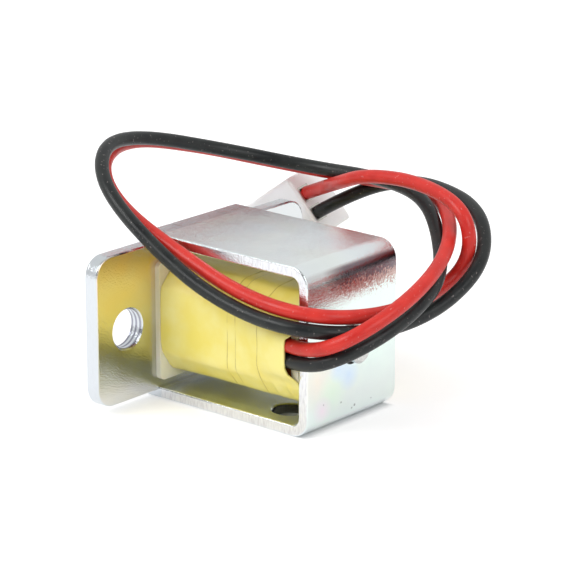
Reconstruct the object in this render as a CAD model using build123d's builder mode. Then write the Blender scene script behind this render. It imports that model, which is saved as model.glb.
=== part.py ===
from build123d import *
import math
import os

os.makedirs("parts", exist_ok=True)

# The origin is the middle of the footprint without the leads.
# The bolt points to -X and the tail rod to +X, +Z is up, and the leads come out on the -Y side.

# Yoke, a U of sheet steel that is open on both sides
yoke_length = 22.1
yoke_width = 14.4
yoke_height = 18.0
sheet = 1.2
bend_outside = 2.1
notch_width = 6.8
mount_hole_r = 1.85
mount_hole_from_face = 16.75
mount_hole_from_front = 3.65
tail_hole_r = 1.6
mount_hole_chamfer = 0.15
edge_round = 0.2

# Face plate across the yoke's open end
plate = 1.7
plate_width = 32.6
ear_height = 16.2
ear_corner = 2.2
ear_hole_r = 2.1
ear_hole_z = 8.75
ear_hole_spacing = 23.6
ear_hole_chamfer = 0.2
tab_gap = 0.08

# Bobbin
axis_z = 8.0
bore_r = 3.6
tube_r = 4.2
flange_width = 15.2
flange_low = 2.1
flange_high = 15.0
flange_corner = 0.7
front_flange = 0.6
rear_flange = 0.9

# Winding and the tape round it
coil_width = 15.0
coil_low = 2.25
coil_high = 14.8
coil_low_corner = 4.8
coil_high_corner = 4.0
tape = 0.3
hump_start = 12.4
hump_end = 19.9
hump_low = 5.9
hump_high = 11.7
hump_slope = 1.3
hump_height = 0.95
hump_start_height = 0.2
lead_opening_low = 7.2
lead_opening_high = 10.6

# Plunger, which carries the bolt nose
bolt_reach = 6.0
travel = 4.0
core_r = 3.5
nose_width = 5.0
nose_bevel = 4.6
nose_tip = 1.2
shoulder_from_face = 1.8
core_end_from_face = 12.5
running_gap = 0.08

# Tail rod and its clip
tail_r = 1.3
tail_reach = 1.4
tail_seat_from_face = 8.5
groove_r = 0.95
rod_chamfer = 0.3
clip = 0.5
clip_r = 2.6
clip_eye_r = 1.75
clip_mouth = 2.2
prong_width = 1.1
prong_root_r = 2.1

# Pole piece and return spring
pole_length = 4.0
spring_seat_r = 2.6
spring_seat_depth = 2.0
spring_r = 2.05
spring_wire_r = 0.175
spring_turns = 5

# Leads and their connector
lead_r = 0.75
lead_gap = 0.05
channel_length = 7
red_exit_z = 9.6
black_exit_z = 7.95
pin_pitch = 2.5
housing_width = 7.4
housing_depth = 5.8
housing_length = 9.8
housing_corner = 0.4
housing_chamfer = 0.25
row_offset = 1.5
cavity = 1.9
window_width = 1.1
window_length = 1.8
window_from_rear = 4.6
terminal_wall = 0.25
terminal_length = 8.8

face_x = (bolt_reach - yoke_length - tail_reach) / 2
plate_back_x = face_x + plate
rear_x = face_x + yoke_length
rear_inside_x = rear_x - sheet
front_y = -yoke_width / 2
coil_start_x = plate_back_x + front_flange
coil_end_x = rear_inside_x - rear_flange
coil_length = coil_end_x - coil_start_x
tape_length = rear_inside_x - coil_start_x


def point(from_face, from_front, height):
    # A point given from the face plate's outer face and the yoke's front side
    return Vector(face_x + from_face, front_y + from_front, height)


def coil_outline(start_x, inset):
    # Rounded outline of the coil at the given place, set in by the given amount
    low = coil_low + inset
    high = coil_high - inset
    with BuildSketch(Plane.YZ.offset(start_x)) as outline:
        with Locations((0, (low + high) / 2)):
            Rectangle(coil_width - 2 * inset, high - low)
        fillet(outline.vertices().group_by(Axis.Y)[0], coil_low_corner - inset)
        fillet(outline.vertices().group_by(Axis.Y)[-1], coil_high_corner - inset)
    return outline.sketch


def lead_channel():
    # Section of the space that both leads share where they run into the coil
    with BuildSketch(Plane(origin=channel_start, x_dir=(0, 0, 1), z_dir=exit_direction)) as channel:
        SlotCenterToCenter(red_exit_z - black_exit_z, 2 * (lead_r + lead_gap))
    return channel.sketch


def bend_radii(points):
    # Arc radius at each corner, so that an arc takes 0.45 of the shorter of its two runs
    radii = []
    for before, here, after in zip(points, points[1:], points[2:]):
        run_in = here - before
        run_out = after - here
        half_turn = math.radians(run_in.get_angle(run_out)) / 2
        radii.append(0.45 * min(run_in.length, run_out.length) / math.tan(half_turn))
    return radii


exit_direction = Vector(1, -0.364, 0).normalized()
channel_start = point(15.9, 1.17, (red_exit_z + black_exit_z) / 2)

# Connector seat: its rear face, with the row of pins along the seat's X and the body along its Z
seat = Plane(origin=point(0.5, 26.5, 15.7), x_dir=(0.56, 0.16, -0.81), z_dir=(-0.82, 0, -0.57))
red_end = seat.from_local_coords(Vector(-pin_pitch / 2, 0, 0))
black_end = seat.from_local_coords(Vector(pin_pitch / 2, 0, 0))

# Each lead: out of the coil, round to the back, along the top to the left, then round once more
red_points = [
    point(16.5, 0.95, red_exit_z),
    point(22.2, -1.12, red_exit_z),
    point(28.3, -1.2, 12.2),
    point(30.8, 6.5, 15.3),
    point(27.8, 16, 17.8),
    point(21.6, 23.7, 19.5),
    point(15.5, 26.3, 20.1),
    point(6.8, 28, 19.2),
    point(-2.1, 23.2, 20.6),
    point(-7.5, 16.8, 22.8),
    point(-11.1, 8.9, 24.6),
    point(-9, 2.5, 23.3),
    point(-2.7, -1.2, 20.4),
    point(6.7, -1.1, 16.6),
    point(14, -1.5, 14.5),
    point(21.2, -1.7, 13.8),
    point(25.9, 1.3, 13.4),
    point(26.4, 9.5, 12.4),
    point(26.5, 17.7, 13.3),
    point(27, 20.6, 16.3),
    point(24.9, 21.8, 20.4),
    point(19.5, 21.2, 22.4),
    point(14, 19.5, 22.3),
    point(8.3, 21.3, 20.2),
    point(3, 26.1, 18.1),
    red_end,
]
black_points = [
    point(16.5, 0.95, black_exit_z),
    point(22.2, -1.12, black_exit_z),
    point(27.4, -0.1, 10),
    point(29.5, 6.2, 12.2),
    point(28.7, 13.2, 15),
    point(23.5, 19.8, 17.3),
    point(18.9, 23.1, 20.3),
    point(11.2, 25.3, 20.6),
    point(2.3, 24.4, 20.5),
    point(-3.9, 16.5, 23.2),
    point(-8.6, 8.1, 25.5),
    point(-7.6, 1.2, 25.6),
    point(-2.5, -3.3, 22.2),
    point(7.7, -3.1, 15.6),
    point(15, -2.5, 12.9),
    point(21.8, -2.4, 12.4),
    point(26.2, 1, 11.9),
    point(27.6, 8.3, 11.2),
    point(29.4, 14.1, 13),
    point(29.9, 19.3, 16.4),
    point(25.4, 24.4, 19.8),
    point(16.3, 28, 20.3),
    point(8.7, 29.5, 18.9),
    point(4.6, 26.6, 16.8),
    black_end,
]

with BuildPart() as yoke:
    with BuildSketch(Plane.XZ) as profile:
        with Locations((face_x + yoke_length / 2, yoke_height / 2)):
            Rectangle(yoke_length, yoke_height)
        fillet(profile.vertices().group_by(Axis.X)[-1], bend_outside)
        with Locations((face_x + (yoke_length - sheet) / 2, yoke_height / 2)):
            Rectangle(yoke_length - sheet, yoke_height - 2 * sheet, mode=Mode.SUBTRACT)
        inside = profile.vertices().filter_by_position(Axis.X, rear_inside_x - 0.01, rear_inside_x + 0.01)
        fillet(inside, bend_outside - sheet)
    extrude(amount=yoke_width / 2, both=True)
    fillet(yoke.edges().filter_by(Plane.XZ), edge_round)
    # Notches for the face plate's tabs
    with BuildSketch():
        with Locations((face_x + plate / 2, 0)):
            Rectangle(plate, notch_width)
    extrude(amount=yoke_height, mode=Mode.SUBTRACT)
    # Mounting hole in the bottom plate
    with BuildSketch():
        with Locations((face_x + mount_hole_from_face, front_y + mount_hole_from_front)):
            Circle(mount_hole_r)
    extrude(amount=sheet, mode=Mode.SUBTRACT)
    hole_rims = yoke.edges().filter_by(GeomType.CIRCLE).filter_by(lambda e: abs(e.radius - mount_hole_r) < 0.01)
    chamfer(hole_rims, mount_hole_chamfer)
    # Hole for the tail rod
    with BuildSketch(Plane.YZ.offset(rear_inside_x)):
        with Locations((0, axis_z)):
            Circle(tail_hole_r)
    extrude(amount=sheet, mode=Mode.SUBTRACT)
yoke.part.label = "yoke"
export_step(yoke.part, "parts/yoke.step")

with BuildPart() as face_plate:
    with BuildSketch(Plane.YZ.offset(face_x)):
        with Locations((0, yoke_height / 2)):
            RectangleRounded(plate_width, ear_height, ear_corner)
    extrude(amount=plate)
    fillet(face_plate.edges().filter_by(Plane.YZ), edge_round)
    # Room for the yoke's arms
    with BuildSketch(Plane.YZ.offset(face_x)):
        with Locations((0, sheet / 2), (0, yoke_height - sheet / 2)):
            Rectangle(yoke_width, sheet)
    extrude(amount=plate, mode=Mode.SUBTRACT)
    # Tabs that fill the notches of the yoke
    with BuildSketch(Plane.YZ.offset(face_x)):
        with Locations((0, yoke_height / 2)):
            Rectangle(notch_width - 2 * tab_gap, yoke_height)
    extrude(amount=plate)
    with BuildSketch(Plane.YZ.offset(face_x)):
        with Locations((-ear_hole_spacing / 2, ear_hole_z), (ear_hole_spacing / 2, ear_hole_z)):
            Circle(ear_hole_r)
    extrude(amount=plate, mode=Mode.SUBTRACT)
    rims = face_plate.edges().filter_by(GeomType.CIRCLE).filter_by(lambda e: abs(e.radius - ear_hole_r) < 0.01)
    chamfer(rims, ear_hole_chamfer)
    # Opening with two flats for the bolt nose
    with BuildSketch(Plane.YZ.offset(face_x)):
        with Locations((0, axis_z)):
            Circle(core_r + running_gap)
            Rectangle(nose_width + 2 * running_gap, 4 * core_r, mode=Mode.INTERSECT)
    extrude(amount=plate, mode=Mode.SUBTRACT)
face_plate.part.label = "face_plate"
export_step(face_plate.part, "parts/face_plate.step")

with BuildPart() as bobbin:
    with BuildSketch(Plane.YZ.offset(plate_back_x)):
        with Locations((0, (flange_low + flange_high) / 2)):
            RectangleRounded(flange_width, flange_high - flange_low, flange_corner)
    extrude(amount=front_flange)
    # The right flange lies under the tape and lets the leads out
    extrude(coil_outline(coil_end_x, tape), amount=rear_flange)
    extrude(lead_channel(), amount=channel_length, mode=Mode.SUBTRACT)
    with BuildSketch(Plane.YZ.offset(plate_back_x)):
        with Locations((0, axis_z)):
            Circle(tube_r)
    extrude(amount=rear_inside_x - plate_back_x)
    with BuildSketch(Plane.YZ.offset(plate_back_x)):
        with Locations((0, axis_z)):
            Circle(bore_r)
    extrude(amount=rear_inside_x - plate_back_x, mode=Mode.SUBTRACT)
bobbin.part.label = "bobbin"
export_step(bobbin.part, "parts/bobbin.step")

with BuildPart() as coil_winding:
    extrude(coil_outline(coil_start_x, tape), amount=coil_length)
    with BuildSketch(Plane.YZ.offset(coil_start_x)):
        with Locations((0, axis_z)):
            Circle(tube_r)
    extrude(amount=coil_length, mode=Mode.SUBTRACT)
    extrude(lead_channel(), amount=channel_length, mode=Mode.SUBTRACT)
coil_winding.part.label = "coil_winding"
export_step(coil_winding.part, "parts/coil_winding.step")

with BuildPart() as tape_wrap:
    extrude(coil_outline(coil_start_x, 0), amount=tape_length)
    # Hump over the leads, which rises towards the right end
    hump_foot = -coil_width / 2 + tape
    hump_start_y = hump_foot - hump_start_height
    hump_end_y = hump_foot - tape - hump_height
    with BuildSketch(Plane.YZ.offset(face_x + hump_start)):
        with BuildLine():
            Polyline(
                (hump_foot, hump_low + 0.8),
                (hump_start_y, hump_low + hump_slope),
                (hump_start_y, hump_high - hump_slope),
                (hump_foot, hump_high - 0.8),
                close=True,
            )
        make_face()
    with BuildSketch(Plane.YZ.offset(face_x + hump_end)):
        with BuildLine():
            Polyline(
                (hump_foot, hump_low),
                (hump_end_y, hump_low + hump_slope),
                (hump_end_y, hump_high - hump_slope),
                (hump_foot, hump_high),
                close=True,
            )
        make_face()
    loft()
    # Opening in the tape's right edge, where the leads come out
    with BuildSketch(Plane.XZ.offset(coil_width / 2 - hump_slope)):
        with BuildLine():
            Polyline(
                (face_x + hump_end, lead_opening_low),
                (face_x + hump_end, lead_opening_high),
                (rear_inside_x, hump_high - 0.5),
                (rear_inside_x, hump_low + 0.5),
                close=True,
            )
        make_face()
    extrude(amount=2 * hump_slope, mode=Mode.SUBTRACT)
    extrude(coil_outline(coil_start_x, tape), amount=tape_length, mode=Mode.SUBTRACT)
    extrude(lead_channel(), amount=channel_length, mode=Mode.SUBTRACT)
tape_wrap.part.label = "tape_wrap"
export_step(tape_wrap.part, "parts/tape_wrap.step")

with BuildPart() as plunger:
    with BuildSketch(Plane.YZ.offset(face_x - bolt_reach)):
        with Locations((0, axis_z)):
            Circle(core_r)
            Rectangle(nose_width, 4 * core_r, mode=Mode.INTERSECT)
    extrude(amount=bolt_reach + shoulder_from_face)
    with BuildSketch(Plane.YZ.offset(face_x + shoulder_from_face)):
        with Locations((0, axis_z)):
            Circle(core_r)
    extrude(amount=core_end_from_face - shoulder_from_face)
    # Bevel of the nose, on the side away from the leads
    with BuildSketch():
        with BuildLine():
            Polyline(
                (face_x - bolt_reach, nose_tip - nose_width / 2),
                (face_x - bolt_reach + nose_bevel, nose_width / 2 + 0.1),
                (face_x - bolt_reach, nose_width / 2 + 0.1),
                close=True,
            )
        make_face()
    extrude(amount=yoke_height, mode=Mode.SUBTRACT)
    # Seat for the tail rod
    with BuildSketch(Plane.YZ.offset(face_x + tail_seat_from_face)):
        with Locations((0, axis_z)):
            Circle(tail_r)
    extrude(amount=core_end_from_face - tail_seat_from_face, mode=Mode.SUBTRACT)
plunger.part.label = "plunger"
export_step(plunger.part, "parts/plunger.step")

with BuildPart() as tail_rod:
    with BuildSketch(Plane.YZ.offset(face_x + tail_seat_from_face)):
        with Locations((0, axis_z)):
            Circle(tail_r)
    extrude(amount=yoke_length + tail_reach - tail_seat_from_face)
    chamfer(tail_rod.faces().sort_by(Axis.X)[-1].edges(), rod_chamfer)
    # Groove for the clip
    with BuildSketch(Plane.YZ.offset(rear_x + running_gap)):
        with Locations((0, axis_z)):
            Circle(tail_r + 0.1)
            Circle(groove_r, mode=Mode.SUBTRACT)
    extrude(amount=clip, mode=Mode.SUBTRACT)
tail_rod.part.label = "tail_rod"
export_step(tail_rod.part, "parts/tail_rod.step")

prong_length = prong_root_r - groove_r
prong_middle_r = (prong_root_r + groove_r) / 2
with BuildPart() as retaining_clip:
    with BuildSketch(Plane.YZ.offset(rear_x + running_gap)):
        with Locations((0, axis_z)):
            Circle(clip_r)
            Circle(clip_eye_r, mode=Mode.SUBTRACT)
        with Locations((0, axis_z - clip_r)):
            Rectangle(clip_mouth, 2 * (clip_r - groove_r), mode=Mode.SUBTRACT)
        # Three prongs that reach into the groove
        with Locations((0, axis_z + prong_middle_r)):
            Rectangle(prong_width, prong_length)
        with Locations((prong_middle_r, axis_z), (-prong_middle_r, axis_z)):
            Rectangle(prong_length, prong_width)
    extrude(amount=clip)
retaining_clip.part.label = "retaining_clip"
export_step(retaining_clip.part, "parts/retaining_clip.step")

with BuildPart() as pole_piece:
    with BuildSketch(Plane.YZ.offset(rear_inside_x - pole_length)):
        with Locations((0, axis_z)):
            Circle(bore_r)
            Circle(tail_r + running_gap, mode=Mode.SUBTRACT)
    extrude(amount=pole_length)
    with BuildSketch(Plane.YZ.offset(rear_inside_x - pole_length)):
        with Locations((0, axis_z)):
            Circle(spring_seat_r)
    extrude(amount=spring_seat_depth, mode=Mode.SUBTRACT)
pole_piece.part.label = "pole_piece"
export_step(pole_piece.part, "parts/pole_piece.step")

spring_start_x = face_x + core_end_from_face + spring_wire_r
spring_end_x = rear_inside_x - pole_length + spring_seat_depth - spring_wire_r
spring_length = spring_end_x - spring_start_x
spring_centre = (spring_start_x, 0, axis_z)
with BuildPart() as return_spring:
    with BuildLine() as coil:
        Helix(spring_length / spring_turns, spring_length, spring_r, spring_centre, (1, 0, 0))
    with BuildSketch(Plane(origin=coil.line @ 0, z_dir=coil.line % 0)):
        Circle(spring_wire_r)
    sweep(is_frenet=True)
return_spring.part.label = "return_spring"
export_step(return_spring.part, "parts/return_spring.step")

red_radii = bend_radii(red_points)
print("red lead radii", [round(r, 1) for r in red_radii])
with BuildPart() as red_lead:
    with BuildLine() as red_path:
        FilletPolyline(*red_points, radius=red_radii)
    with BuildSketch(Plane(origin=red_points[0], z_dir=red_points[1] - red_points[0])):
        Circle(lead_r)
    sweep()
red_lead.part.label = "red_lead"
export_step(red_lead.part, "parts/red_lead.step")

black_radii = bend_radii(black_points)
print("black lead radii", [round(r, 1) for r in black_radii])
with BuildPart() as black_lead:
    with BuildLine() as black_path:
        FilletPolyline(*black_points, radius=black_radii)
    with BuildSketch(Plane(origin=black_points[0], z_dir=black_points[1] - black_points[0])):
        Circle(lead_r)
    sweep()
black_lead.part.label = "black_lead"
export_step(black_lead.part, "parts/black_lead.step")

for name, lead, path in (("red", red_lead, red_path), ("black", black_lead, black_path)):
    length = sum(edge.length for edge in path.edges())
    print(name, "lead length", round(length, 1), "volume", round(lead.part.volume, 2))
    print("section times length", round(math.pi * lead_r**2 * length, 2))

with BuildPart() as connector_housing:
    with BuildSketch(seat):
        with Locations((0, -row_offset)):
            RectangleRounded(housing_width, housing_depth, housing_corner)
    extrude(amount=housing_length)
    chamfer(connector_housing.edges().filter_by(seat), housing_chamfer)
    # Through cavities for the terminals
    with BuildSketch(seat):
        with Locations((-pin_pitch / 2, 0), (pin_pitch / 2, 0)):
            Rectangle(cavity, cavity)
    extrude(amount=housing_length, mode=Mode.SUBTRACT)
    # Windows for the terminals' catches, in the near side
    with BuildSketch(Plane(origin=seat.origin, x_dir=seat.x_dir, z_dir=seat.y_dir)):
        with Locations((-pin_pitch / 2, -window_from_rear), (pin_pitch / 2, -window_from_rear)):
            Rectangle(window_width, window_length)
    extrude(amount=housing_depth / 2, mode=Mode.SUBTRACT)
connector_housing.part.label = "connector_housing"
export_step(connector_housing.part, "parts/connector_housing.step")

with BuildPart() as red_terminal:
    with BuildSketch(seat):
        with Locations((-pin_pitch / 2, 0)):
            Rectangle(cavity, cavity)
            Rectangle(cavity - 2 * terminal_wall, cavity - 2 * terminal_wall, mode=Mode.SUBTRACT)
    extrude(amount=terminal_length)
red_terminal.part.label = "red_terminal"
export_step(red_terminal.part, "parts/red_terminal.step")

with BuildPart() as black_terminal:
    with BuildSketch(seat):
        with Locations((pin_pitch / 2, 0)):
            Rectangle(cavity, cavity)
            Rectangle(cavity - 2 * terminal_wall, cavity - 2 * terminal_wall, mode=Mode.SUBTRACT)
    extrude(amount=terminal_length)
black_terminal.part.label = "black_terminal"
export_step(black_terminal.part, "parts/black_terminal.step")
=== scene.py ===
import math

import bpy
import numpy as np
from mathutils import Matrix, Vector


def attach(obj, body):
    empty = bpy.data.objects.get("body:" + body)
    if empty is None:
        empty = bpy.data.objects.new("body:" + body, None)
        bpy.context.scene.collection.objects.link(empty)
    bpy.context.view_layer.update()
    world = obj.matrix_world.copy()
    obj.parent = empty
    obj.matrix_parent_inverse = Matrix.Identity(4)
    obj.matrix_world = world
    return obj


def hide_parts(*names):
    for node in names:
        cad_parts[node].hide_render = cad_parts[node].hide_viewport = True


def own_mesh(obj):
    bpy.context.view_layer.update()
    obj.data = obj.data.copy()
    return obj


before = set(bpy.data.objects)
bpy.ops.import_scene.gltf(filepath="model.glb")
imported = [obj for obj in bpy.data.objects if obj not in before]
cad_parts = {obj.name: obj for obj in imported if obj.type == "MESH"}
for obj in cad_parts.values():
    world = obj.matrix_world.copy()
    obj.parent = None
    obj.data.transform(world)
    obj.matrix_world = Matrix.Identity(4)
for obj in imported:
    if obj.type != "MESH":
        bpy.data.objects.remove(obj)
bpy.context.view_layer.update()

# Sizes of the latch and places on it, in mm
MM = 0.001
FACE_X = -8.75
FRONT_Y = -7.2
YOKE_LENGTH = 22.1
AXIS_Z = 8.0
EAR_HOLE_Y = 11.8
EAR_HOLE_Z = 8.75
BOTTOM_HOLE_X = 8.0
BOTTOM_HOLE_Y = -3.55
# Ends of the tape's turns, from the face plate's outer face
TAPE_TURNS = (11.6, 12.65, 15.9)


def at(from_face, from_front, height):
    # A point in metres, given in mm from the face plate's outer face, the yoke's front side and the floor
    return Vector(((FACE_X + from_face) * MM, (FRONT_Y + from_front) * MM, height * MM))


# Camera: the photo's angle, with its long lens
AZIMUTH = math.radians(40.52)
ELEVATION = math.radians(16.98)
DISTANCE = 0.28129
TARGET = at(12.213, 8.147, 12.647)
LENS = 170.53
camera_data = bpy.data.cameras.new("camera")
camera_data.sensor_width = 36
camera_data.lens = LENS
camera_data.clip_start = 0.01
camera = bpy.data.objects.new("camera", camera_data)
bpy.context.collection.objects.link(camera)
sight = Vector((
    math.sin(AZIMUTH) * math.cos(ELEVATION),
    -math.cos(AZIMUTH) * math.cos(ELEVATION),
    math.sin(ELEVATION),
))
camera.location = TARGET + DISTANCE * sight
camera.rotation_euler = sight.to_track_quat("Z", "Y").to_euler()
bpy.context.scene.camera = camera
bpy.context.scene.view_settings.view_transform = "Standard"


# Materials
class Shader:
    # A material with its node tree and a short way to add nodes to it

    def __init__(self, name):
        self.material = bpy.data.materials.new(name)
        self.material.use_nodes = True
        self.tree = self.material.node_tree
        self.tree.nodes.clear()
        self.output = self.node("ShaderNodeOutputMaterial")

    def node(self, kind, values=None, **settings):
        made = self.tree.nodes.new(kind)
        for key, value in settings.items():
            setattr(made, key, value)
        for key, value in (values or {}).items():
            if isinstance(value, bpy.types.NodeSocket):
                self.tree.links.new(value, made.inputs[key])
            else:
                made.inputs[key].default_value = value
        return made

    def link(self, start, end):
        self.tree.links.new(start, end)

    def place(self):
        return self.node("ShaderNodeTexCoord").outputs["Object"]

    def noise(self, scale, detail=3.0, roughness=0.5, place=None, distortion=0.0):
        made = self.node("ShaderNodeTexNoise", {
            "Vector": place or self.place(),
            "Scale": scale,
            "Detail": detail,
            "Roughness": roughness,
            "Distortion": distortion,
        })
        return made.outputs["Fac"]

    def spread(self, value, low, high, to_low=0.0, to_high=1.0):
        made = self.node("ShaderNodeMapRange", {
            "Value": value,
            "From Min": low,
            "From Max": high,
            "To Min": to_low,
            "To Max": to_high,
        })
        return made.outputs["Result"]

    def ramp(self, value, stops):
        made = self.node("ShaderNodeValToRGB", {"Fac": value})
        elements = made.color_ramp.elements
        while len(elements) < len(stops):
            elements.new(0.5)
        for element, (position, colour) in zip(elements, stops):
            element.position = position
            element.color = (*colour, 1)
        return made.outputs["Color"]

    def mix(self, factor, first, second, blend="MIX"):
        made = self.node("ShaderNodeMix", data_type="RGBA", blend_type=blend)
        for socket, value in ((made.inputs[0], factor), (made.inputs[6], first), (made.inputs[7], second)):
            if isinstance(value, bpy.types.NodeSocket):
                self.link(value, socket)
            elif isinstance(value, (int, float)):
                socket.default_value = value
            else:
                socket.default_value = (*value, 1)
        return made.outputs[2]

    def axis(self, name, place=None):
        # One coordinate of a vector, which is the place on the object in metres unless another is given
        return self.node("ShaderNodeSeparateXYZ", {"Vector": place or self.place()}).outputs[name]

    def sum(self, operation, first, second):
        # One step of arithmetic on two values
        return self.node("ShaderNodeMath", {0: first, 1: second}, operation=operation).outputs[0]

    def size(self, value):
        # The value without its sign
        return self.node("ShaderNodeMath", {0: value}, operation="ABSOLUTE").outputs[0]

    def length(self, first, second):
        # The length of a step with these two parts
        squares = self.sum("ADD", self.sum("POWER", first, 2), self.sum("POWER", second, 2))
        return self.node("ShaderNodeMath", {0: squares}, operation="SQRT").outputs[0]

    def near(self, centre, radius):
        # One at the centre, falling to nought at the radius
        values = {0: self.place(), 1: centre}
        away = self.node("ShaderNodeVectorMath", values, operation="DISTANCE").outputs["Value"]
        return self.spread(away, 0, radius, 1, 0)

    def bump(self, height, strength, distance, normal=None):
        values = {"Height": height, "Strength": strength, "Distance": distance}
        if normal:
            values["Normal"] = normal
        return self.node("ShaderNodeBump", values).outputs["Normal"]

    def surface(self, **values):
        names = {key.replace("_", " "): value for key, value in values.items()}
        made = self.node("ShaderNodeBsdfPrincipled", names)
        self.link(made.outputs[0], self.output.inputs["Surface"])
        return made


def zinc_plate():
    m = Shader("zinc_plate")
    cloud = m.noise(260, 4, 0.6)
    patch = m.noise(90, 2, 0.4, distortion=0.8)
    tint = m.ramp(patch, [
        (0.3, (0.9, 0.97, 1)),
        (0.45, (0.92, 0.98, 0.99)),
        (0.56, (0.92, 0.98, 0.95)),
        (0.7, (0.95, 0.96, 0.93)),
    ])
    # Faint green, then rainbow tints of the zinc on the rear plate
    rear = m.sum("MULTIPLY", m.spread(m.axis("X"), 0.0128, 0.0132), m.spread(m.axis("Z"), 0.0165, 0.015))
    tint = m.mix(m.sum("MULTIPLY", rear, 0.8), tint, (0.79, 0.89, 0.84))
    for place, radius, hue in (
        (at(YOKE_LENGTH, 1.6, 6), 0.0036, (0.95, 0.9, 0.78)),
        (at(YOKE_LENGTH, 4, 4.2), 0.0024, (0.8, 0.96, 0.8)),
        (at(YOKE_LENGTH, 10, 8), 0.005, (0.8, 0.95, 0.88)),
        (at(YOKE_LENGTH, 5, 6.4), 0.0016, (0.68, 0.84, 1)),
        (at(YOKE_LENGTH, 6.6, 5.4), 0.0018, (0.66, 0.82, 1)),
        (at(YOKE_LENGTH, 2.4, 2.6), 0.0016, (0.93, 0.84, 0.9)),
    ):
        tint = m.mix(m.near(place, radius), tint, hue)
    colour = m.mix(m.spread(cloud, 0.35, 0.7, 0.0, 0.25), tint, (0.74, 0.78, 0.82))
    # Sheared edges, with fine streaks across the sheet
    facing = m.node("ShaderNodeTexCoord").outputs["Normal"]
    side = m.size(m.axis("Y", facing))
    streak = m.node("ShaderNodeMapping", {"Vector": m.place(), "Scale": (1, 0.1, 0.25)}).outputs[0]
    streak = m.noise(4200, 3, 0.6, streak)
    sheared = m.ramp(streak, [
        (0.35, (0.68, 0.68, 0.71)),
        (0.5, (0.77, 0.78, 0.81)),
        (0.7, (0.84, 0.85, 0.86)),
    ])
    colour = m.mix(m.spread(side, 0.75, 0.9), colour, sheared)
    # Painted reflection of the leads below the upper bend: a grainy band, dark, then red-brown
    grain = m.spread(m.noise(3800, 2, 0.6), 0.35, 0.65, -0.0007, 0.0007)
    level = m.sum("ADD", m.axis("Z"), grain)
    outside = m.spread(m.axis("X", facing), 0.7, 0.85)
    outside = m.sum("MULTIPLY", outside, m.spread(m.axis("X"), 0.0128, 0.0131))
    outside = m.sum("MULTIPLY", outside, m.spread(m.axis("Y"), -0.0045, -0.0012, 0.15, 0.75))
    red_lead_painted_reflection = m.sum("MULTIPLY", outside, m.spread(level, 0.0138, 0.0143))
    colour = m.mix(red_lead_painted_reflection, colour, (0.5, 0.27, 0.23))
    dark_lead_painted_reflection = m.sum("MULTIPLY", outside, m.spread(level, 0.0151, 0.0154))
    colour = m.mix(dark_lead_painted_reflection, colour, (0.13, 0.13, 0.17))
    # The face plate is duller; its back has a painted reflection of the yellow tape, gold towards the top,
    # and painted shade, darker olive, lower down
    plate = m.spread(m.axis("X"), -0.0066, -0.0069)
    colour = m.mix(m.sum("MULTIPLY", plate, 0.85), colour, (0.66, 0.7, 0.74))
    back = m.sum("MULTIPLY", m.spread(m.axis("X", facing), 0.7, 0.85), plate)
    back = m.sum("MULTIPLY", back, m.spread(m.axis("Y"), 0.002, -0.002, 0.1, 1))
    painted_tape_and_shade_reflection = m.ramp(m.spread(m.axis("Z"), 0, 0.018), [
        (0.1, (0.7, 0.69, 0.66)),
        (0.2, (0.5, 0.49, 0.38)),
        (0.38, (0.5, 0.47, 0.29)),
        (0.55, (0.76, 0.69, 0.45)),
        (0.85, (0.86, 0.69, 0.44)),
    ])
    colour = m.mix(m.sum("MULTIPLY", back, m.spread(cloud, 0.35, 0.65, 0.6, 0.95)), colour, painted_tape_and_shade_reflection)
    # Painted shade on the wall of the bottom hole
    hole_x = m.sum("SUBTRACT", m.axis("X"), BOTTOM_HOLE_X * MM)
    hole_y = m.sum("SUBTRACT", m.axis("Y"), BOTTOM_HOLE_Y * MM)
    from_hole = m.length(hole_x, hole_y)
    hole_wall_painted_shade = m.sum("MULTIPLY", m.spread(from_hole, 0.00191, 0.00186), m.spread(m.axis("Z"), 0.003, 0.002))
    colour = m.mix(m.sum("MULTIPLY", hole_wall_painted_shade, 0.85), colour, (0.12, 0.12, 0.08))
    # Small pits low on the rear plate
    for place, radius in (
        (at(YOKE_LENGTH, 2.6, 3.15), 0.0001),
        (at(YOKE_LENGTH, 5.4, 2.7), 0.00014),
        (at(YOKE_LENGTH, 7.2, 1.6), 0.00018),
        (at(YOKE_LENGTH, 7.6, 1.85), 0.0002),
        (at(YOKE_LENGTH, 10.3, 1.9), 0.0001),
    ):
        colour = m.mix(m.sum("MULTIPLY", m.near(place, radius), 0.8), colour, (0.05, 0.05, 0.06))
    # Rings inside the ear holes
    aside = m.sum("SUBTRACT", m.size(m.axis("Y")), EAR_HOLE_Y * MM)
    above = m.sum("SUBTRACT", m.axis("Z"), EAR_HOLE_Z * MM)
    from_axis = m.length(aside, above)
    rings = m.node("ShaderNodeMath", {0: m.sum("MULTIPLY", m.axis("X"), 11000)}, operation="SINE").outputs[0]
    rings = m.sum("MULTIPLY", m.spread(from_axis, 0.00222, 0.00212), m.spread(rings, -0.4, 0.6))
    colour = m.mix(m.sum("MULTIPLY", rings, 0.75), colour, (0.2, 0.2, 0.27))
    peel = m.noise(6000, 2, 0.5)
    m.surface(
        Base_Color=colour,
        Metallic=1.0,
        Roughness=m.spread(cloud, 0.3, 0.7, 0.09, 0.15),
        Normal=m.bump(peel, 0.8, 0.00004),
    )
    return m.material


def bright_steel():
    m = Shader("bright_steel")
    streak = m.noise(3500, 3, 0.6)
    m.surface(
        Base_Color=m.mix(m.spread(streak, 0.35, 0.65), (0.6, 0.6, 0.59), (0.7, 0.69, 0.67)),
        Metallic=1.0,
        Roughness=m.spread(streak, 0.3, 0.7, 0.22, 0.34),
        Normal=m.bump(streak, 0.2, 0.000008),
    )
    return m.material


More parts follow.
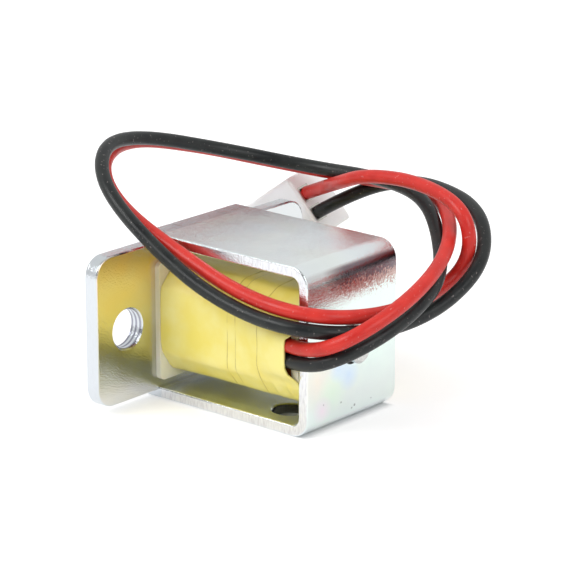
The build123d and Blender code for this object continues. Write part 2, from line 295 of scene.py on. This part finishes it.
def cream_plastic():
    m = Shader("cream_plastic")
    cloud = m.noise(400, 3)
    warm = m.mix(m.spread(cloud, 0.3, 0.7), (0.76, 0.68, 0.44), (0.84, 0.77, 0.56))
    m.surface(
        Base_Color=m.mix(m.spread(m.axis("Z"), 0.0045, 0.008), (0.88, 0.86, 0.74), warm),
        Roughness=m.spread(cloud, 0.3, 0.7, 0.35, 0.45),
        Subsurface_Weight=0.3,
        Subsurface_Scale=0.0008,
        Subsurface_Radius=(1.0, 0.7, 0.4),
        Normal=m.bump(m.noise(3000, 3), 0.1, 0.00001),
    )
    return m.material


def yellow_tape():
    m = Shader("yellow_tape")
    cloud = m.noise(300, 3, 0.5)
    colour = m.mix(m.spread(cloud, 0.35, 0.65), (0.92, 0.78, 0.15), (0.95, 0.85, 0.27))
    # Edges of the tape's turns, as thin broken lines round the coil
    along = m.sum("ADD", m.axis("X"), m.spread(m.noise(180, 1), 0, 1, -0.00025, 0.00025))
    lines = None
    for place in TAPE_TURNS:
        away = m.sum("SUBTRACT", along, (FACE_X + place) * MM)
        line = m.spread(m.size(away), 0.00002, 0.00008, 1, 0)
        lines = m.sum("MAXIMUM", lines, line) if lines else line
    broken = m.spread(m.noise(420, 2), 0.35, 0.5)
    lines = m.sum("MULTIPLY", lines, broken)
    colour = m.mix(m.sum("MULTIPLY", lines, 0.6), colour, (0.45, 0.33, 0.05))
    normal = m.bump(m.noise(450, 3, 0.5), 0.5, 0.00015)
    m.surface(
        Base_Color=colour,
        Roughness=m.spread(cloud, 0.3, 0.7, 0.28, 0.4),
        Coat_Weight=0.4,
        Coat_Roughness=0.25,
        Normal=m.bump(lines, 0.5, 0.00004, normal),
    )
    return m.material


def copper_wire():
    m = Shader("copper_wire")
    m.surface(
        Base_Color=m.mix(m.noise(900), (0.55, 0.2, 0.08), (0.7, 0.3, 0.13)),
        Metallic=1.0,
        Roughness=m.spread(m.noise(2000), 0.3, 0.7, 0.25, 0.4),
    )
    return m.material


def insulation(name, dark, light, level):
    m = Shader(name)
    cloud = m.noise(500, 3, 0.5)
    specks = m.spread(m.noise(3200, 2, 0.5), 0.66, 0.74)
    colour = m.mix(m.spread(cloud, 0.35, 0.65), dark, light)
    m.surface(
        Base_Color=m.mix(m.sum("MULTIPLY", specks, 0.2), colour, (0.7, 0.6, 0.58)),
        Roughness=m.spread(cloud, 0.3, 0.7, 0.32, 0.42),
        Specular_IOR_Level=level,
        Normal=m.bump(m.noise(2500, 3, 0.6), 0.12, 0.00002),
    )
    return m.material


def white_plastic():
    m = Shader("white_plastic")
    cloud = m.noise(400, 3)
    m.surface(
        Base_Color=m.mix(m.spread(cloud, 0.3, 0.7), (0.94, 0.93, 0.92), (0.97, 0.96, 0.97)),
        Roughness=m.spread(cloud, 0.3, 0.7, 0.4, 0.5),
        Subsurface_Weight=0.25,
        Subsurface_Scale=0.001,
        Subsurface_Radius=(1.0, 0.9, 0.8),
        Normal=m.bump(m.noise(2600, 3), 0.1, 0.00001),
    )
    return m.material


def tinned_brass():
    m = Shader("tinned_brass")
    cloud = m.noise(1500, 3)
    m.surface(
        Base_Color=m.mix(m.spread(cloud, 0.3, 0.7), (0.62, 0.6, 0.55), (0.72, 0.7, 0.66)),
        Metallic=1.0,
        Roughness=m.spread(cloud, 0.3, 0.7, 0.28, 0.4),
        Normal=m.bump(cloud, 0.15, 0.00001),
    )
    return m.material


ZINC = zinc_plate()
STEEL = bright_steel()
CREAM = cream_plastic()
TAPE = yellow_tape()
COPPER = copper_wire()
RED = insulation("red_insulation", (0.55, 0.02, 0.014), (0.64, 0.029, 0.019), 0.4)
BLACK = insulation("black_insulation", (0.009, 0.011, 0.012), (0.018, 0.021, 0.02), 0.35)
WHITE = white_plastic()
TINNED = tinned_brass()

FINISH = {
    "yoke": ZINC,
    "face_plate": ZINC,
    "bobbin": CREAM,
    "coil_winding": COPPER,
    "plunger": STEEL,
    "tail_rod": STEEL,
    "pole_piece": STEEL,
    "connector_housing": WHITE,
    "red_terminal": TINNED,
    "black_terminal": TINNED,
}
for node_name, finish in FINISH.items():
    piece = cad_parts[node_name]
    piece.data.materials.clear()
    piece.data.materials.append(finish)

# Tape: a skin with flat facets, which swells over the leads towards the rear plate
# Each section holds its distance from the face and half of its outline, from the bottom up
TAPE_SECTIONS = [
    (2.3, [
        (0, 2.25), (-3.6, 2.25), (-5.86, 3.15), (-7.5, 5.6),
        (-7.5, 12.3), (-6.1, 13.7), (-5, 14.7), (0, 14.8),
    ]),
    (8, [
        (0, 2.45), (-3.6, 2.45), (-5.8, 3.3), (-7.45, 5.5),
        (-7.5, 12), (-6.3, 13.6), (-4.7, 14.6), (0, 14.8),
    ]),
    (14, [
        (0, 2.45), (-3.6, 2.45), (-5.8, 3.3), (-7.35, 5.6),
        (-7.5, 11.8), (-6.3, 13.6), (-4.5, 14.6), (0, 14.8),
    ]),
    (20.9, [
        (0, 2.45), (-3.6, 2.45), (-5.75, 3.3), (-7.3, 5.6),
        (-7.4, 11.8), (-6.3, 13.6), (-4.5, 14.6), (0, 14.8),
    ]),
]
TAPE_START, TAPE_END = 2.3, 20.9
TAPE_LENGTH = TAPE_END - TAPE_START
TAPE_THICKNESS = 0.25
TAPE_STEP = 0.04
LEAD_SWELL = 0.95
# Dents and folds: distance from the face, height, size along, size up, depth
TAPE_DENTS = (
    (4.6, 10.6, 1.2, 1.4, 0.1),
    (7.4, 8.2, 1.8, 1, -0.08),
    (9.6, 5.4, 2.2, 0.5, -0.12),
    (10.2, 11.6, 1.6, 0.8, 0.08),
    (14.4, 5.6, 1.5, 0.4, -0.1),
    (17.6, 4.3, 0.35, 0.9, -0.14),
    (19.4, 4.6, 0.3, 0.8, -0.12),
)


def mesh_piece(name, verts, faces, finish, body, node, smooth=False):
    # A piece of the scene's own, in the place of a solid
    mesh = bpy.data.meshes.new(name)
    mesh.from_pydata(verts, [], faces)
    if smooth:
        mesh.shade_smooth()
    mesh.materials.append(finish)
    piece = bpy.data.objects.new(name, mesh)
    bpy.context.collection.objects.link(piece)
    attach(piece, body)
    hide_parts(node)
    return piece


def soft_step(value, low, high):
    share = np.clip((value - low) / (high - low), 0, 1)
    return share * share * (3 - 2 * share)


def tape_outline(from_face, per_side=10):
    # Closed outline of the tape at one place, as rows of Y and Z in mm
    places = [place for place, corners in TAPE_SECTIONS]
    halves = np.array([corners for place, corners in TAPE_SECTIONS], float)
    half = np.array([
        [np.interp(from_face, places, halves[:, i, k]) for k in (0, 1)]
        for i in range(halves.shape[1])
    ])
    back = half[-2:0:-1] * (-1, 1)
    ring = np.vstack([half, back])
    steps = np.arange(per_side)[:, None] / per_side
    sides = zip(ring, np.roll(ring, -1, axis=0))
    points = np.vstack([here + steps * (after - here) for here, after in sides])
    for turn in range(4):
        points = (np.roll(points, 1, axis=0) + 2 * points + np.roll(points, -1, axis=0)) / 4
    return points


def tape_skin():
    rows = set(np.linspace(0, 1, 130))
    for turn in TAPE_TURNS:
        rows.update(((turn - TAPE_START - 0.03) / TAPE_LENGTH, (turn - TAPE_START + 0.03) / TAPE_LENGTH))
    outer, inner = [], []
    for row in sorted(rows):
        points = tape_outline(TAPE_START + TAPE_LENGTH * row)
        y, z = points[:, 0], points[:, 1]
        # The front ends earlier where the leads come out
        end = np.interp(z, (6.1, 7.2, 10.5, 11.3), (TAPE_END, 19.9, 19.9, TAPE_END))
        end = np.where(y < -5, end, TAPE_END)
        x = TAPE_START + row * (end - TAPE_START)
        along = np.roll(points, -1, axis=0) - np.roll(points, 1, axis=0)
        normal = np.stack([along[:, 1], -along[:, 0]], axis=1)
        normal /= -np.linalg.norm(normal, axis=1)[:, None]
        lift = np.zeros(len(y))
        for number, turn in enumerate(TAPE_TURNS):
            lift += np.where(x > turn, TAPE_STEP, 0) * (1 if number % 2 else -1)
        for place, level, size, height, depth in TAPE_DENTS:
            dent = depth * np.exp(-((x - place) / size) ** 2 - ((z - level) / height) ** 2)
            lift -= np.where(y < 0, dent, 0)
        swell = LEAD_SWELL * soft_step(x, 12.4, 19.6) * soft_step(z, 5.4, 7.1) * soft_step(-z, -12.3, -10.5)
        swell = np.where(y < 0, swell, 0)
        skin = points + normal * lift[:, None]
        skin[:, 0] -= swell
        outer.append(np.column_stack([x, skin]))
        inner.append(np.column_stack([x, skin - TAPE_THICKNESS * normal]))
    return np.array(outer), np.array(inner)


outer, inner = tape_skin()
count, around = outer.shape[:2]
places = np.vstack([outer.reshape(-1, 3), inner.reshape(-1, 3)])
places = (places + (FACE_X, 0, 0)) * MM
faces = []
for i in range(count - 1):
    for k in range(around):
        after = (k + 1) % around
        a, b, c, d = i * around + k, (i + 1) * around + k, (i + 1) * around + after, i * around + after
        faces.append((a, b, c, d))
        faces.append(tuple(count * around + v for v in (d, c, b, a)))
for k in range(around):
    after = (k + 1) % around
    last = (count - 1) * around
    far = count * around
    faces.append((after, far + after, far + k, k))
    faces.append((last + k, last + far + k, last + far + after, last + after))
places = [tuple(place) for place in places]
mesh_piece("tape_skin", places, faces, TAPE, "latch_body", "tape_wrap", smooth=True)

# Retaining clip: an open ring in the tail rod's groove, with three teeth and bevelled edges
CLIP_R = 2.6
CLIP_EYE_R = 1.75
CLIP_TOOTH_R = 0.97
CLIP_X = (13.43, 13.93)
CLIP_EDGE = 0.07
# Angles of the teeth, of which the outer two are the ring's ends
CLIP_TEETH = (-15, 90, 195)


def clip_ring():
    steps = 72
    start, middle, end = CLIP_TEETH
    near_x, far_x = CLIP_X
    verts, faces = [], []
    for step in range(steps + 1):
        turn = math.radians(start + (end - start) * step / steps)
        tooth = max(1 - abs(turn - math.radians(place)) / 0.3 for place in (start, middle, end))
        inner_r = CLIP_EYE_R + (CLIP_TOOTH_R - CLIP_EYE_R) * float(soft_step(tooth, 0, 0.4))
        for radius, x in (
            (inner_r, near_x + CLIP_EDGE),
            (inner_r + CLIP_EDGE, near_x),
            (CLIP_R - CLIP_EDGE, near_x),
            (CLIP_R, near_x + CLIP_EDGE),
            (CLIP_R, far_x - CLIP_EDGE),
            (CLIP_R - CLIP_EDGE, far_x),
            (inner_r + CLIP_EDGE, far_x),
            (inner_r, far_x - CLIP_EDGE),
        ):
            height = AXIS_Z + radius * math.sin(turn)
            verts.append((x * MM, radius * math.cos(turn) * MM, height * MM))
    for step in range(steps):
        for k in range(8):
            here, after = step * 8 + k, step * 8 + (k + 1) % 8
            faces.append((here, after, after + 8, here + 8))
    faces.append(tuple(range(7, -1, -1)))
    faces.append(tuple(range(steps * 8, steps * 8 + 8)))
    return verts, faces


clip_verts, clip_faces = clip_ring()
mesh_piece("clip_ring", clip_verts, clip_faces, STEEL, "bolt", "retaining_clip")

# Return spring: a helix round the tail rod
SPRING_X = (3.75, 10.15)
SPRING_R = 2.05
SPRING_WIRE_R = 0.175
SPRING_TURNS = 5.0


def spring_helix(steps=300, sides=10):
    verts, faces = [], []
    start, end = SPRING_X[0] + SPRING_WIRE_R, SPRING_X[1] - SPRING_WIRE_R
    low, high = soft_step(0, -0.1, 1.1), soft_step(1, -0.1, 1.1)
    for step in range(steps + 1):
        share = step / steps
        turn = 2 * math.pi * SPRING_TURNS * share
        # The turns lie closer together at both ends
        x = start + (end - start) * float(soft_step(share, -0.1, 1.1) - low) / float(high - low)
        for side in range(sides):
            round_wire = 2 * math.pi * side / sides
            radius = SPRING_R + SPRING_WIRE_R * math.cos(round_wire)
            verts.append((
                (x + SPRING_WIRE_R * math.sin(round_wire)) * MM,
                radius * math.cos(turn) * MM,
                (AXIS_Z + radius * math.sin(turn)) * MM,
            ))
    for step in range(steps):
        for side in range(sides):
            here, after = step * sides + side, step * sides + (side + 1) % sides
            faces.append((here, here + sides, after + sides, after))
    faces.append(tuple(range(sides)))
    faces.append(tuple(range(steps * sides + sides - 1, steps * sides - 1, -1)))
    return verts, faces


spring_verts, spring_faces = spring_helix()
spring = mesh_piece(
    "spring_helix", spring_verts, spring_faces, STEEL, "latch_body", "return_spring", smooth=True
)
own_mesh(spring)

# Leads: smooth curves guided by the CAD routes' points, some of them moved to match the photo
LEAD_R = 0.75 * MM
RED_POINTS = [
    at(16.5, 0.95, 9.6),
    at(22.2, -1.12, 9.6),
    at(28.3, -1.2, 12.05),
    at(30.8, 6.5, 15.6),
    at(27.8, 16, 17.8),
    at(21.6, 23.7, 19.5),
    at(15.5, 26.3, 20.1),
    at(6.8, 28, 19.2),
    at(-3, 24.3, 20.2),
    at(-9.1, 18.6, 22.1),
    at(-11.5, 9.4, 24.4),
    at(-9, 2.5, 23.3),
    at(-2.7, -1.2, 20.4),
    at(6.7, -1.1, 16.6),
    at(14, -1.5, 14.5),
    at(21.2, -1.7, 13.8),
    at(25.9, 1.3, 13.4),
    at(26.4, 9.5, 12.4),
    at(26.5, 17.7, 13.3),
    at(28.2, 19.1, 16.9),
    at(27.2, 18.9, 21.45),
    at(19.8, 20.8, 22.55),
    at(12.9, 20.7, 22.15),
    at(7.8, 22, 20.1),
    at(3, 26.1, 18.1),
    at(-0.2, 26.3, 16.71),
]
BLACK_POINTS = [
    at(16.5, 0.95, 7.95),
    at(22.2, -1.12, 7.95),
    at(27.4, -0.1, 10.15),
    at(29.5, 6.2, 12.6),
    at(28.7, 13.2, 15),
    at(23.5, 19.8, 17.3),
    at(18.9, 23.1, 20.3),
    at(11.2, 25.3, 20.6),
    at(1.7, 25.2, 20.2),
    at(-6.1, 19, 22.2),
    at(-9.2, 8.8, 25.2),
    at(-7.6, 1.2, 25.6),
    at(-2.5, -3.3, 22.2),
    at(7.7, -3.1, 15.6),
    at(15, -2.5, 12.9),
    at(21.8, -2.4, 12.4),
    at(26.2, 1, 11.9),
    at(27.6, 8.3, 11.2),
    at(29.4, 14.1, 13),
    at(29.9, 19.3, 16.4),
    at(25.4, 24.4, 19.8),
    at(16.3, 28, 20.3),
    at(8.7, 29.5, 18.9),
    at(4.6, 26.6, 16.8),
    at(1.2, 26.7, 14.69),
]


def lead(name, points, finish):
    curve = bpy.data.curves.new(name, "CURVE")
    curve.dimensions = "3D"
    curve.bevel_depth = LEAD_R
    curve.bevel_resolution = 6
    curve.resolution_u = 12
    curve.use_fill_caps = True
    spline = curve.splines.new("NURBS")
    spline.points.add(len(points) - 1)
    for control, place in zip(spline.points, points):
        control.co = (*place, 1)
    spline.use_endpoint_u = True
    spline.order_u = 3
    curve.materials.append(finish)
    piece = bpy.data.objects.new(name, curve)
    bpy.context.collection.objects.link(piece)
    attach(piece, "latch_body")
    return piece


red = lead("red_wire", RED_POINTS, RED)
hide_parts("red_lead")
black = lead("black_wire", BLACK_POINTS, BLACK)
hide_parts("black_lead")

# Stage: a pale floor that keeps the soft shadow, under a white sky
bpy.ops.mesh.primitive_plane_add(size=4)
floor = bpy.context.object
floor.name = "floor"
m = Shader("floor_white")
rays = m.node("ShaderNodeLightPath").outputs
# The floor under the yoke keeps its shade, and has painted shade below the bottom hole
across = m.size(m.axis("X"))
deep = m.size(m.axis("Y"))
open_floor = m.sum("MAXIMUM", m.spread(across, 0.0124, 0.0134), m.spread(deep, 0.0068, 0.0072))
painted_shade_below_hole = m.near((BOTTOM_HOLE_X * MM, BOTTOM_HOLE_Y * MM, 0), 0.0026)
pale = m.mix(painted_shade_below_hole, (0.82, 0.82, 0.82), (0.05, 0.05, 0.04))
matte = m.node("ShaderNodeBsdfDiffuse", {"Color": pale})
to_camera = m.sum("MULTIPLY", rays["Is Camera Ray"], 0.36)
to_gloss = m.sum("MULTIPLY", rays["Is Glossy Ray"], 0.28)
seen_floor = m.sum("ADD", to_camera, to_gloss)
lifted = m.sum("MULTIPLY", seen_floor, open_floor)
lift = m.node("ShaderNodeEmission", {"Color": (1, 1, 1, 1), "Strength": lifted})
both = m.node("ShaderNodeAddShader")
m.link(matte.outputs[0], both.inputs[0])
m.link(lift.outputs[0], both.inputs[1])
m.link(both.outputs[0], m.output.inputs["Surface"])
floor.data.materials.append(m.material)

world = bpy.data.worlds.new("sky")
bpy.context.scene.world = world
world.use_nodes = True
sky = world.node_tree
sky.nodes.clear()
rays = sky.nodes.new("ShaderNodeLightPath").outputs
# Glossy rays see a darker sky on the camera's side, where the photo's room is dark
heading = sky.nodes.new("ShaderNodeVectorMath")
heading.operation = "DOT_PRODUCT"
heading.inputs[1].default_value = (0.55, -0.62, 0.56)
direction = sky.nodes.new("ShaderNodeTexCoord")
sky.links.new(direction.outputs["Generated"], heading.inputs[0])
room = sky.nodes.new("ShaderNodeMapRange")
room.inputs["From Min"].default_value = 0.35
room.inputs["From Max"].default_value = 0.85
room.inputs["To Min"].default_value = 1.0
room.inputs["To Max"].default_value = 0.28
sky.links.new(heading.outputs["Value"], room.inputs["Value"])
glossy = sky.nodes.new("ShaderNodeMix")
glossy.inputs[2].default_value = 0.75
sky.links.new(rays["Is Glossy Ray"], glossy.inputs[0])
sky.links.new(room.outputs["Result"], glossy.inputs[3])
strength = sky.nodes.new("ShaderNodeMix")
strength.inputs[3].default_value = 1.0
sky.links.new(rays["Is Camera Ray"], strength.inputs[0])
sky.links.new(glossy.outputs[0], strength.inputs[2])
background = sky.nodes.new("ShaderNodeBackground")
sky.links.new(strength.outputs[0], background.inputs["Strength"])
sky_output = sky.nodes.new("ShaderNodeOutputWorld")
sky.links.new(background.outputs[0], sky_output.inputs[0])


def softbox(name, place, size, power):
    data = bpy.data.lights.new(name, "AREA")
    data.shape = "RECTANGLE"
    data.size, data.size_y = size
    data.energy = power
    lamp = bpy.data.objects.new(name, data)
    bpy.context.collection.objects.link(lamp)
    lamp.location = place
    lamp.rotation_euler = (Vector(place) - TARGET).to_track_quat("Z", "Y").to_euler()
    return lamp


softbox("key", (-0.15, -0.35, 0.32), (0.22, 0.22), 1.0)
softbox("fill", (0.4, -0.1, 0.25), (0.3, 0.3), 0.7)
top_lamp = softbox("top", (0.0, 0.1, 0.5), (0.4, 0.4), 0.6)
# Metal that faces up keeps its own tone
top_lamp.visible_glossy = False
